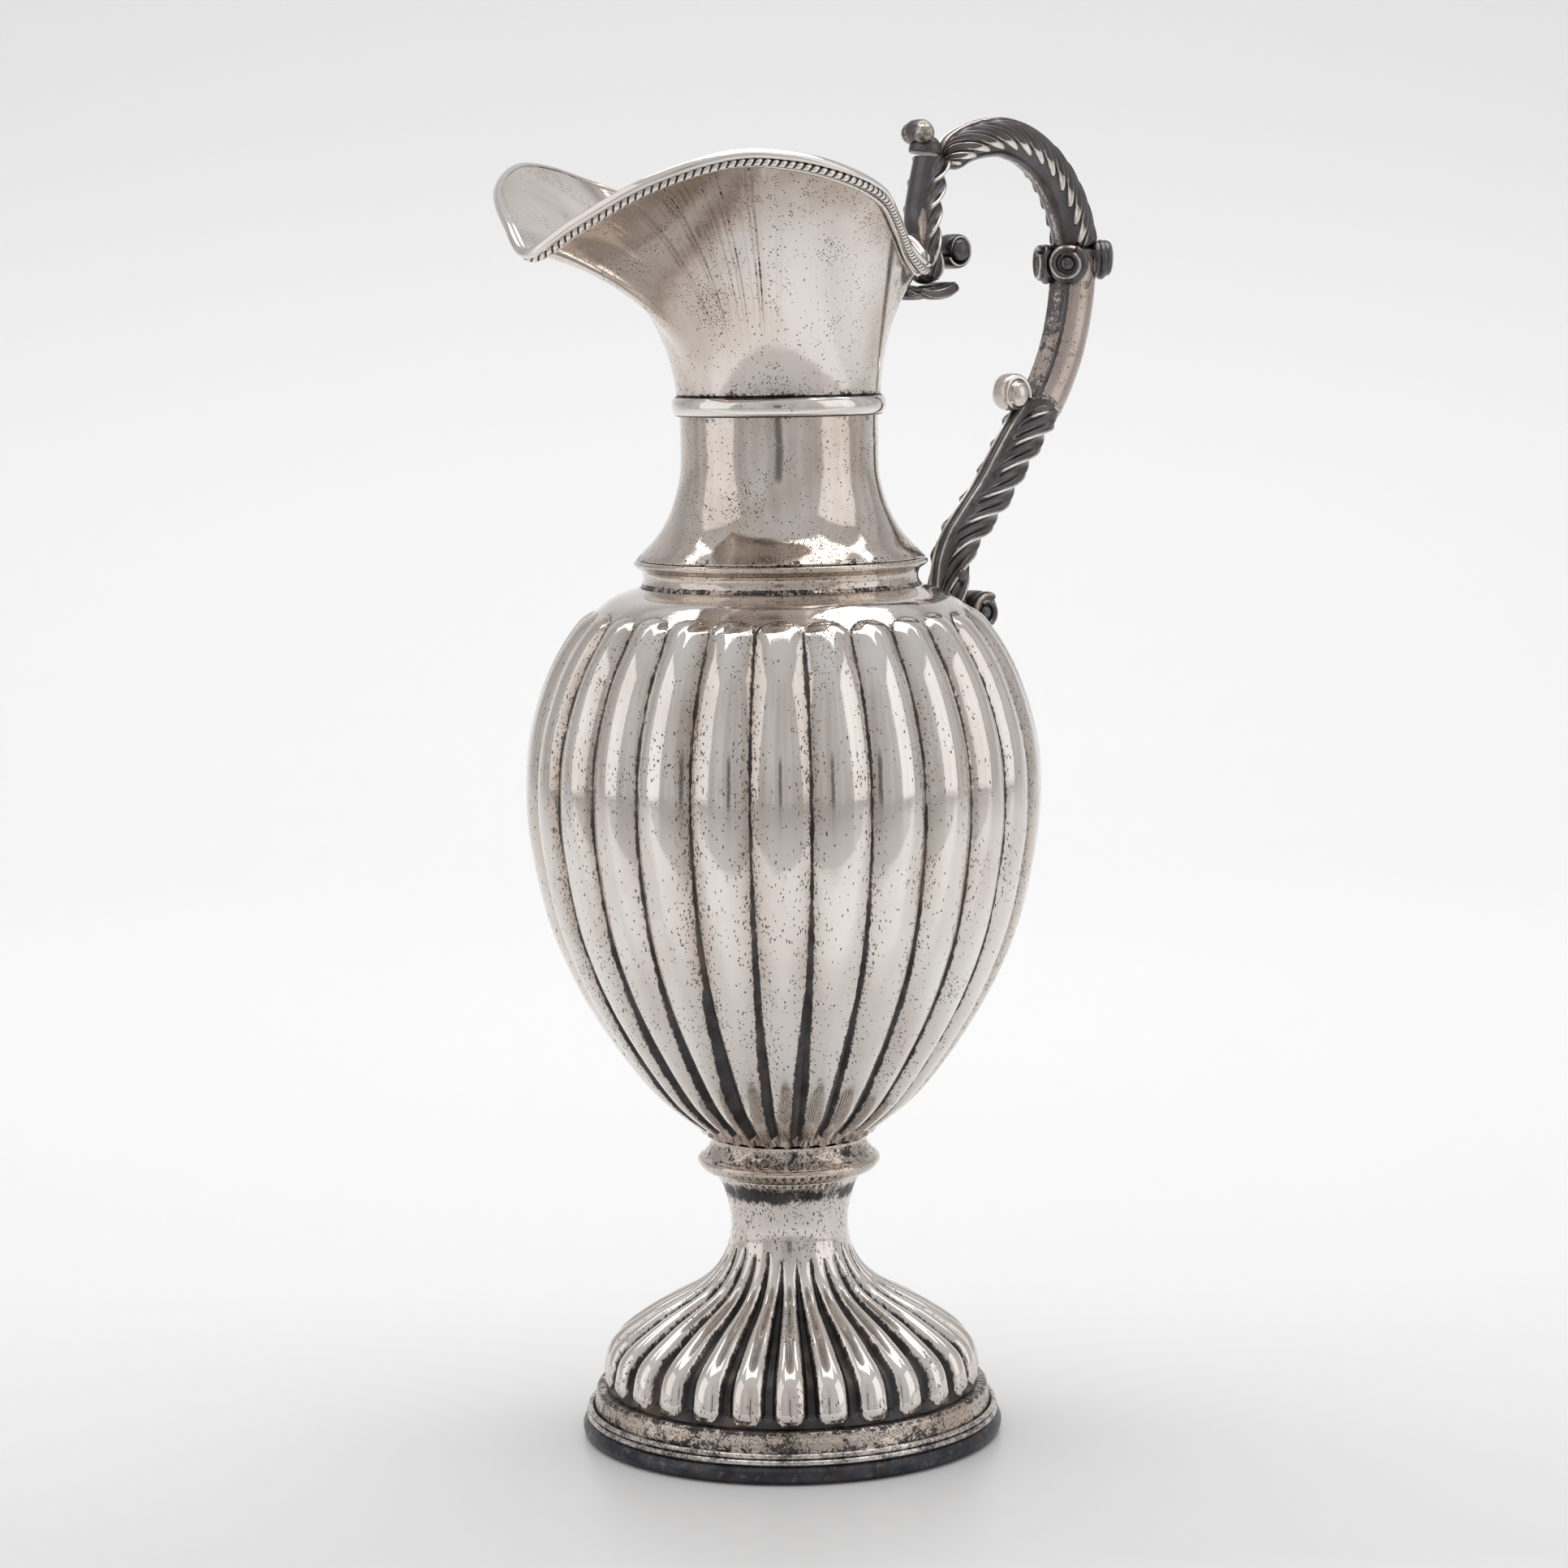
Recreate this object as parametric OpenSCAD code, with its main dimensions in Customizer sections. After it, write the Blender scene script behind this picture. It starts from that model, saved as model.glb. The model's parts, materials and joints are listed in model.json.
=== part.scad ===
// Silver water pitcher on a fluted foot: a lobed body, a plain neck, a wide pouring
// mouth with a roped border and a cast leaf-work handle. Millimetres. +Z is up, the
// origin is the middle of the foot on the table, -X is the spout, +X is the handle.

/* [Body] */
// Widest diameter over the lobes
body_d = 142; // [134:1:150]
// Number of lobes round the body
body_lobes = 28; // [24:1:30]
// Depth of the grooves between the body lobes
body_groove = 2.4; // [1.2:0.1:3]
// Thickness of the silver sheet
sheet = 1; // [0.8:0.1:1.2]

/* [Foot] */
// Diameter over the base ring
foot_d = 117; // [113:1:121]
// Number of flutes round the foot
foot_flutes = 28; // [24:1:30]
// Depth of the grooves between the foot flutes
foot_groove = 3.4; // [2:0.1:4]
// Narrowest diameter of the stem
stem_d = 32.5; // [30:0.5:36]

/* [Neck and mouth] */
// Outside diameter of the neck
neck_d = 54; // [50:1:56]
// Diameter of the roped wire of the mouth border
rope_d = 2.4; // [2:0.1:2.8]

/* [Handle] */
// Thickness of the plain grip
grip_d = 12.8; // [11:0.2:14]
// Depth of the leaf relief on the handle
leaf_relief = 0.9; // [0.4:0.1:1.2]
// Diameter of the four scrolls between arch and grip
volute_d = 11.5; // [10:0.5:12]

/* [Hidden] */
$fn = 96;

// Heights of the joints between the pieces of the vessel
plinth_z = 8.6;
ledge_z = 13.6;
stem_top_z = 73.5;
body_z = 83.8;
shoulder_z = 236.4;
neck_z = 243.7;
funnel_z = 288.2;

body_r = body_d / 2;
foot_r = foot_d / 2;
neck_r = neck_d / 2;
funnel_r = neck_r + 0.8;
grip_r = grip_d / 2;

// Outline of the foot over the crests of the flutes, as [radius, height]
FOOT_CURVE = [[foot_r - 6.5, ledge_z], [foot_r - 6, 18], [foot_r - 8.8, 26], [39.2, 34], [25.1, 42],
              [18.4, 50], [stem_d / 2, 59], [18.1, 69], [20.6, stem_top_z]];

// Outline of the body over the crests of the lobes, as [radius, height]
BODY_CURVE = [[22, body_z], [38, 97.5], [body_r * 0.763, 120.4], [body_r * 0.911, 143.3],
              [body_r * 0.985, 166.2], [body_r, 182], [body_r * 0.98, 196.5], [body_r * 0.911, 212.1],
              [58, 224], [50.5, 231.6], [38.6, shoulder_z]];

// One half of the mouth rim from the tip of the spout round to the handle, as [x, side, z]
RIM_CURVE = [[-82.8, 0, 326.4], [-78.6, 14, 333.6], [-69, 31.5, 343.3], [-53, 44.7, 349.6],
             [-37.4, 51, 349.4], [-22, 54.2, 346], [-7, 50.4, 341.4], [8, 39.2, 334.8],
             [24, 26, 327.6], [37, 18, 323], [44.6, 10.5, 324.8], [46.6, 0, 330]];

// Middle lines of the handle pieces in the plane of symmetry, as [x, z]
BRACKET_CURVE = [[55.2, 318], [54.8, 326], [54.2, 335], [55, 343.5], [56.2, 352.5]];
ARCH_CURVE = [[62.6, 353.2], [68.6, 356.2], [76, 358], [84, 358.3], [93.4, 355.4], [101.5, 349.5],
              [107.5, 341.5], [110.8, 334], [112.2, 328]];
GRIP_CURVE = [[112.2, 328], [111.6, 319], [110.2, 310], [107.4, 300], [103, 290.5], [98, 282.5]];
LEG_CURVE = [[98, 282.5], [91, 274.5], [84.2, 266], [77.8, 257.5], [70, 249.2], [64.6, 242.8],
             [61.8, 236], [61, 228.5], [61, 221]];

// ---- helpers ----

function unit(v) = v / norm(v);

// Point between b and c on the smooth curve through a, b, c and d
function between(a, b, c, d, t) =
    0.5 * (2 * b + (c - a) * t + (2 * a - 5 * b + 4 * c - d) * t * t
           + (3 * b - a - 3 * c + d) * t * t * t);

// Open curve through the points, with a number of steps from each to the next
function open_curve(p, steps) = let (last = len(p) - 1) [
    for (i = [0:last - 1], j = [0:steps - 1])
        between(i == 0 ? 2 * p[0] - p[1] : p[i - 1], p[i], p[i + 1],
                i == last - 1 ? 2 * p[last] - p[last - 1] : p[i + 2], j / steps),
    p[last]];

// Closed curve through the points
function closed_curve(p, steps) = let (n = len(p)) [
    for (i = [0:n - 1], j = [0:steps - 1])
        between(p[(i + n - 1) % n], p[i], p[(i + 1) % n], p[(i + 2) % n], j / steps)];

// Rises smoothly from 0 at a to 1 at b
function ease(a, b, x) = let (t = max(0, min(1, (x - a) / (b - a)))) t * t * (3 - 2 * t);

// Skin over a stack of rings of equal length; a looped stack joins its last ring to its first
module skin(rings, looped = false) {
    rows = len(rings);
    n = len(rings[0]);
    function at(row, i) = (row % rows) * n + i % n;
    sides = [for (k = [0:looped ? rows - 1 : rows - 2], i = [0:n - 1])
        each [[at(k, i), at(k + 1, i), at(k + 1, i + 1)], [at(k, i), at(k + 1, i + 1), at(k, i + 1)]]];
    ends = looped ? [] : [[for (i = [0:n - 1]) i], [for (i = [n - 1:-1:0]) at(rows - 1, i)]];
    polyhedron([for (ring = rings) each ring], concat(sides, ends), convexity = 10);
}

// Ring of one level of a lobed shell; the lobes are round and the grooves between them sharp
function lobed_ring(r, z, lobes, depth, steps = 4) = [
    for (i = [0:lobes * steps - 1]) let (a = 360 * i / (lobes * steps), lobe = abs(cos(a * lobes / 2)))
        [(r - depth * (1 - lobe)) * cos(a), (r - depth * (1 - lobe)) * sin(a), z]];

// Ring of a bar section across the plane of symmetry: a towards the hand side, b sideways
function bar_ring(p, dir, a, b, sides) = let (across = [dir[1], 0, -dir[0]]) [
    for (i = [0:sides - 1]) let (t = 360 * (i + 0.5) / sides)
        [p[0], 0, p[1]] + across * a * cos(t) + [0, b * sin(t), 0]];

// Direction of a plane curve at its point i
function heading(curve, i) = let (last = len(curve) - 1)
    unit(curve[min(i + 1, last)] - curve[max(i - 1, 0)]);

// Bar along a plane curve whose half sizes go from size_a to size_b, both as [thick, wide]
module bar(curve, size_a, size_b, relief = 0, waves = 0, slant = 0, sides = 16) {
    last = len(curve) - 1;
    skin([for (i = [0:last]) let (t = i / last, s = size_a + (size_b - size_a) * t,
                                 ring = bar_ring(curve[i], heading(curve, i), s[0], s[1], sides),
                                 mid = [curve[i][0], 0, curve[i][1]], rise = ease(0, 0.06, t) * ease(0, 0.06, 1 - t))
        [for (k = [0:sides - 1]) let (side = 360 * (k + 0.5) / sides,
                                      spine = abs(side - 180) / 180,
                                      wave = cos(360 * (waves * t - slant * spine)))
            ring[k] + unit(ring[k] - mid) * relief * rise * wave * sin(min(180, 240 * spine + 20))]]);
}

// Scroll with its axis sideways: a barrel, a raised spiral and a round eye on both faces
module scroll(d, width, eye) {
    turn = 400;
    wire = d * 0.09;
    proud = 0.7;
    function spiral(a, off) = (d / 2 - wire - (d / 2 - eye / 2 - wire) * a / turn + off) * [cos(a), sin(a)];
    rotate([90, 0, 0]) {
        translate([0, 0, -width / 2]) cylinder(h = width, d = d);
        for (side = [0, 1]) mirror([0, 0, side]) {
            translate([0, 0, width / 2 - 0.2]) linear_extrude(proud + 0.2)
                polygon(concat([for (a = [0:20:turn]) spiral(a, wire / 2)],
                               [for (a = [turn:-20:0]) spiral(a, -wire / 2)]));
            translate([0, 0, width / 2]) intersection() {
                sphere(d = eye);
                translate([-eye, -eye, 0]) cube([2 * eye, 2 * eye, eye]);
            }
        }
    }
}

// Rolled end of a bar: a barrel with a round knob on both ends
module curl(d, width, knob) {
    rotate([90, 0, 0]) translate([0, 0, -width / 2]) cylinder(h = width, d = d);
    for (side = [-1, 1]) translate([0, side * width / 2, 0]) sphere(d = knob);
}

// Keeps what lies ahead of the plane through p, facing dir, in the plane of symmetry
module ahead_of(p, dir, reach = 20) {
    intersection() {
        children();
        translate([p[0], 0, p[1]]) rotate([0, -atan2(dir[1], dir[0]), 0])
            translate([0, -reach, -reach]) cube([2 * reach, 2 * reach, 2 * reach]);
    }
}

// ---- foot ----

module base_ring() {
    color("dimgray") rotate_extrude() polygon(concat(
        [[foot_r - 6.3, 5], [foot_r - 6.3, 0], [foot_r - 2.2, 0]],
        [for (a = [-70:20:70]) [foot_r - 2.6, 2.6] + 2.6 * [cos(a), sin(a)]],
        [[foot_r - 2.2, 5]]));
}

module foot_wire(r, z, d) {
    rotate_extrude() translate([r, z]) circle(d = d, $fn = 24);
}

module lower_foot_wire() {
    color("gainsboro") foot_wire(foot_r - 1.9, 5.9, 1.7);
}

module upper_foot_wire() {
    color("gainsboro") foot_wire(foot_r - 2.3, 7.6, 1.6);
}

module plinth() {
    top_r = foot_r - 3.9;
    foot_of_wall = foot_r - 3.2;
    color("silver") rotate_extrude() polygon([
        [foot_of_wall - 1.6, 5], [foot_of_wall - 0.2, 5], [foot_of_wall, plinth_z], [top_r - 0.2, 11],
        [top_r, 12.6], [top_r - 0.6, ledge_z], [foot_r - 10.5, ledge_z], [foot_r - 10.5, ledge_z - sheet],
        [top_r - 2.2, ledge_z - sheet], [foot_of_wall - 1.6, plinth_z]]);
}

// Depth of the foot grooves at height z: closed at the ledge and faded out on the stem
function foot_depth(z, r) = foot_groove * min(1, r / 45 + 0.08) * ease(ledge_z - 0.2, 17, z) * ease(53, 46, z);

module fluted_foot() {
    curve = open_curve(FOOT_CURVE, 2);
    outer = [for (p = curve) lobed_ring(p[0], p[1], foot_flutes, foot_depth(p[1], p[0]))];
    inner = [for (i = [len(curve) - 1:-1:0]) let (p = curve[i], d = heading(curve, i))
        lobed_ring(p[0] - sheet * d[1], p[1] + (i == 0 || i == len(curve) - 1 ? 0 : sheet * d[0]),
                   foot_flutes, foot_depth(p[1], p[0]))];
    color("silver") skin(concat(outer, inner), looped = true);
}

module waist_collar() {
    color("silver") rotate_extrude() polygon(concat(
        [[15, stem_top_z], [21.2, stem_top_z], [24.5, 75.2]],
        [for (a = [-40:20:60]) [23.9, 77] + 1.4 * [cos(a), sin(a)]],
        [[23, 79.4], [22, 81], [21.6, 82.6], [22, body_z], [15, body_z]]));
}

// ---- body and neck ----

// Depth of the body grooves at height z: faded out below the plain shoulder
function body_depth(z, r) = body_groove * min(1, r / 60 + 0.2) * ease(230, 222, z);

module lobed_body() {
    curve = open_curve(BODY_CURVE, 2);
    last = len(curve) - 1;
    outer = [for (p = curve) lobed_ring(p[0], p[1], body_lobes, body_depth(p[1], p[0]))];
    inner = [for (i = [last:-2:0]) let (p = curve[i], d = heading(curve, i),
                                        r = i == last ? p[0] - 3 : p[0] - sheet * d[1],
                                        z = i == last ? p[1] - 0.4 : i == 0 ? p[1] + sheet : p[1] + sheet * d[0])
        lobed_ring(r, z, body_lobes, body_depth(p[1], p[0]))];
    color("silver") skin(concat(outer, inner));
}

module shoulder_collar() {
    color("silver") rotate_extrude() polygon([
        [35.8, shoulder_z], [38.6, shoulder_z], [37.8, 237.6], [37.6, 239.2], [38.2, 240.8], [39.7, 241.9],
        [40.2, 242.6], [40, 243.3], [39.4, neck_z], [35.8, neck_z]]);
}

// Outline of the outside of the neck, flared out to the shoulder collar
NECK_CURVE = [[39.4, neck_z], [37.2, 246.2], [34, 249.6], [31.2, 254], [28.9, 259.5],
              [neck_r + 0.2, 267], [neck_r, 276], [neck_r, funnel_z]];

module neck_tube() {
    curve = open_curve(NECK_CURVE, 3);
    last = len(curve) - 1;
    color("silver") rotate_extrude() polygon(concat(curve,
        [for (i = [last:-1:0]) let (d = heading(curve, i))
            [curve[i][0] - sheet * max(d[1], 0.7), curve[i][1] + (i == 0 || i == last ? 0 : sheet * d[0])]]));
}

module neck_band() {
    half_h = 2.8;
    middle_z = 285.4;
    color("gainsboro") rotate_extrude() polygon(concat([[neck_r, middle_z - half_h]],
        [for (a = [-80:20:80]) [neck_r + 0.3 + 2 * cos(a), middle_z + half_h * sin(a)]],
        [[neck_r, middle_z + half_h]]));
}

// ---- mouth ----

RIM_STEPS = 3;
RIM_HALF = len(RIM_CURVE) - 1;
RIM = closed_curve(concat([for (p = RIM_CURVE) p],
    [for (i = [RIM_HALF - 1:-1:1]) [RIM_CURVE[i][0], -RIM_CURVE[i][1], RIM_CURVE[i][2]]]), RIM_STEPS);
RIM_N = len(RIM);
// Seen from above the rim runs clockwise from the spout; the rings run the other way
function rim(i) = RIM[(2 * RIM_N - i) % RIM_N];

// How much a direction belongs to the spout or to the handle side
function spout_part(p) = pow(max(0, -p[0] / norm([p[0], p[1]])), 2);
function back_part(p) = pow(max(0, p[0] / norm([p[0], p[1]])), 2);

// Point of the funnel wall at rim point i and height share t: neck at 0, rim at 1
function funnel_at(i, t) = let (
    p = rim(i), out = unit([p[0], p[1], 0]), start = out * funnel_r + [0, 0, funnel_z],
    rise = p[2] - funnel_z, reach = norm([p[0], p[1]]) - funnel_r,
    s = spout_part(p), b = back_part(p),
    low = start + out * (0.8 + 1.4 * s) + [0, 0, rise * (0.30 + 0.08 * s + 0.04 * b)],
    high = p - out * reach * (0.38 + 0.22 * s + 0.14 * b) - [0, 0, rise * (0.34 - 0.18 * s - 0.14 * b)],
    u = 1 - t)
    start * u * u * u + low * 3 * u * u * t + high * 3 * u * t * t + p * t * t * t;

function funnel_up(i, t) = unit(funnel_at(i, min(1, t + 0.02)) - funnel_at(i, max(0, t - 0.02)));
function funnel_out(i, t) = unit(cross(funnel_at(i + 1, t) - funnel_at(i - 1 + RIM_N, t), funnel_up(i, t)));

module mouth_funnel() {
    levels = [0, 0.12, 0.26, 0.4, 0.53, 0.65, 0.76, 0.86, 0.94, 1];
    outer = [for (t = levels) [for (i = [0:RIM_N - 1]) funnel_at(i, t)]];
    inner = [for (k = [len(levels) - 1:-1:0]) let (t = levels[k]) [for (i = [0:RIM_N - 1])
        funnel_at(i, t) - sheet * (k == 0 ? unit([rim(i)[0], rim(i)[1], 0]) : funnel_out(i, t))]];
    color("silver") skin(concat(outer, inner), looped = true);
}

// Closed moulding along the rim: its section is given as [outward, up along the wall]
module rim_moulding(section) {
    skin([for (p = section) [for (i = [0:RIM_N - 1])
        rim(i) + p[0] * funnel_out(i, 1) + p[1] * funnel_up(i, 1)]], looped = true);
}

function round_section(mid, d, sides) =
    [for (a = [0:sides - 1]) mid + d / 2 * [cos(360 * (a + 0.5) / sides), sin(360 * (a + 0.5) / sides)]];

module rim_lip() {
    color("gainsboro") rim_moulding([[-1.2, 0.05], [1.5, 0.05], [1.5, 1.1], [0.9, 1.7], [-0.7, 1.7], [-1.2, 1.2]]);
}

module roped_wire() {
    color("silver") rim_moulding(round_section([rope_d / 2 + 0.1, -rope_d / 2], rope_d, 8));
}

module border_wire() {
    color("gainsboro") rim_moulding(round_section([0.75, -rope_d - 0.7], 1.3, 6));
}

// ---- handle ----

module bracket() {
    color("dimgray") bar(open_curve(BRACKET_CURVE, 6), [5.2, 5.4], [6.3, 6], leaf_relief, 3, 0.8, 14);
}

module bracket_curl() {
    top = BRACKET_CURVE[len(BRACKET_CURVE) - 1];
    color("dimgray") ahead_of(top, [0.13, 1]) translate([54, 0, 358.3]) curl(10, 5, 6.4);
}

module bracket_scroll() {
    flank = 59.6;
    color("dimgray") ahead_of([flank, 327], [1, -0.05]) translate([flank + 4.6, 0, 326.8]) scroll(9.8, 7, 3.6);
}

// Leaves that spread under the rim from the foot of the bracket
module leaf_spray() {
    stem = [[60.5, 316.2], [54, 315], [47, 316]];
    color("dimgray") for (side = [-1, 0, 1]) translate([side == 0 ? 2 : 0, side * 4.6, 0])
        bar(open_curve(stem, 3), [2.4, 3], [1.2, 1.4], 0, 0, 0, 8);
}

module handle_arch() {
    color("dimgray") bar(open_curve(ARCH_CURVE, 6), [5.1, 5.1], [6.8, 6.6], leaf_relief, 9, 1.2, 16);
}

// One of the four scrolls that stand on the skin of the bar; turn is its direction round the bar
module bar_volute(turn) {
    middle = [111.8, 0, abs(turn) > 90 ? 323.2 : 324.4];
    thick = 2.9;
    near = turn < 0;
    color("dimgray") intersection() {
        translate(middle) rotate([0, 0, turn]) translate([grip_r + thick / 2 - 0.2, 0, 0])
            rotate([0, 0, 90]) scroll(volute_d, thick, volute_d * 0.32);
        translate([0, near ? -30.1 : 0.1, 300]) cube([150, 30, 50]);
    }
}

module near_inner_volute() {
    bar_volute(-148);
}

module far_inner_volute() {
    bar_volute(148);
}

module near_outer_volute() {
    bar_volute(-32);
}

module far_outer_volute() {
    bar_volute(32);
}

module grip() {
    color("gray") bar(open_curve(GRIP_CURVE, 3), [grip_r + 0.4, grip_r + 0.2], [grip_r - 0.2, grip_r + 0.2]);
}

module leg_curl() {
    color("dimgray") ahead_of([93.2, 286], [-0.776, 0.63]) translate([87.4, 0, 287]) curl(10.6, 6.8, 4.8);
}

module handle_leg() {
    color("dimgray") bar(open_curve(LEG_CURVE, 5), [grip_r - 0.2, grip_r + 0.2], [4.8, 5],
                         leaf_relief, 6, -0.9, 16);
}

module leg_boss(side) {
    color("dimgray") translate([62, side * 4.9, 236]) sphere(d = 4);
}

module near_leg_boss() {
    leg_boss(-1);
}

module far_leg_boss() {
    leg_boss(1);
}

module foot_volute() {
    color("dimgray") ahead_of([66, 225], [1, 0]) translate([71.8, 0, 225]) scroll(12, 9, 4);
}

base_ring();
lower_foot_wire();
upper_foot_wire();
plinth();
fluted_foot();
waist_collar();
lobed_body();
shoulder_collar();
neck_tube();
neck_band();
mouth_funnel();
border_wire();
roped_wire();
rim_lip();
bracket();
bracket_curl();
bracket_scroll();
leaf_spray();
handle_arch();
near_inner_volute();
far_inner_volute();
near_outer_volute();
far_outer_volute();
grip();
leg_curl();
handle_leg();
near_leg_boss();
far_leg_boss();
foot_volute();
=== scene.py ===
import json
import math

import bpy
import numpy as np
from mathutils import Matrix, Vector


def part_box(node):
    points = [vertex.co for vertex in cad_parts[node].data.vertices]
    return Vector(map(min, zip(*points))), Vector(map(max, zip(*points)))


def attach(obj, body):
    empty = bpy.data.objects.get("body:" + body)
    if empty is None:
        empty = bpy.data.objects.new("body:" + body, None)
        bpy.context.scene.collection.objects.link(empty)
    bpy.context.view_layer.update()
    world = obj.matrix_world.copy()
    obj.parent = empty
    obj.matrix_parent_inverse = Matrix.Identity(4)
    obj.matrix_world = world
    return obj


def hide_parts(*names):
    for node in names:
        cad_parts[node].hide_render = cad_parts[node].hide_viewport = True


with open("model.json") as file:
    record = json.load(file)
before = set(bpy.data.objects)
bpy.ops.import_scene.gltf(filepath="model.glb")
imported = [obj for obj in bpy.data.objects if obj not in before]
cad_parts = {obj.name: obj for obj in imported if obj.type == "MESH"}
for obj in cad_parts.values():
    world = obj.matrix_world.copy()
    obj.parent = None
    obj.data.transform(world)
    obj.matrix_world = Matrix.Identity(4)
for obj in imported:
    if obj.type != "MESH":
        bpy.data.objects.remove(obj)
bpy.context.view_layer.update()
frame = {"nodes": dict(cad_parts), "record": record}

MM = 0.001
TAU = 2 * math.pi
BRIGHT = -9.0  # value of the "edge" attribute far outside any dark zone, in mm
NEAR_SIDE = math.radians(130)  # the photographed side lies at minus this azimuth
UP = np.array([0, 0, 1.0])
SLOT_OF = {s["node"]: s["material_slot"] for s in frame["record"]["subparts"]}
rng = np.random.default_rng(7)


# ---- curves ----

def ease(a, b, x):
    """Rises smoothly from 0 at a to 1 at b."""
    t = np.clip((x - a) / (b - a), 0, 1)
    return t * t * (3 - 2 * t)


def bell(x, middle, width):
    return np.exp(-((x - middle) / width) ** 2)


def between(a, b, c, d, t):
    """Point between b and c on the smooth curve through a, b, c and d."""
    return 0.5 * (2 * b + (c - a) * t + (2 * a - 5 * b + 4 * c - d) * t * t + (3 * b - a - 3 * c + d) * t ** 3)


def open_curve(points, steps):
    p = np.array(points, float)
    p = np.vstack([2 * p[0] - p[1], p, 2 * p[-1] - p[-2]])
    t = (np.arange(steps) / steps)[:, None]
    parts = [between(p[i], p[i + 1], p[i + 2], p[i + 3], t) for i in range(len(p) - 3)]
    return np.vstack(parts + [p[-2:-1]])


def closed_curve(points, steps):
    p = np.array(points, float)
    n = len(p)
    t = (np.arange(steps) / steps)[:, None]
    return np.vstack([between(p[i - 1], p[i], p[(i + 1) % n], p[(i + 2) % n], t) for i in range(n)])


def lengths(curve):
    return np.concatenate([[0], np.cumsum(np.linalg.norm(np.diff(curve, axis=0), axis=1))])


def even(curve, count):
    """The same curve with evenly spaced points."""
    s = lengths(curve)
    at = np.linspace(0, s[-1], count)
    return np.stack([np.interp(at, s, curve[:, k]) for k in range(curve.shape[1])], -1)


def even_loop(curve, count):
    """The same closed curve with evenly spaced points."""
    return even(np.vstack([curve, curve[:1]]), count + 1)[:-1]


def unit(v):
    return v / np.maximum(np.linalg.norm(v, axis=-1, keepdims=True), 1e-9)


def rounded(points, radius):
    """Closed outline with small round corners."""
    p = np.array(points, float)
    out = []
    for i in range(len(p)):
        before, here, after = p[i - 1], p[i], p[(i + 1) % len(p)]
        r_in = min(radius, 0.45 * np.linalg.norm(before - here))
        r_out = min(radius, 0.45 * np.linalg.norm(after - here))
        start = here + unit(before - here) * r_in
        end = here + unit(after - here) * r_out
        for t in np.linspace(0, 1, 5):
            out.append(start * (1 - t) ** 2 + here * 2 * t * (1 - t) + end * t * t)
    return np.array(out)


# ---- meshes ----

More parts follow.
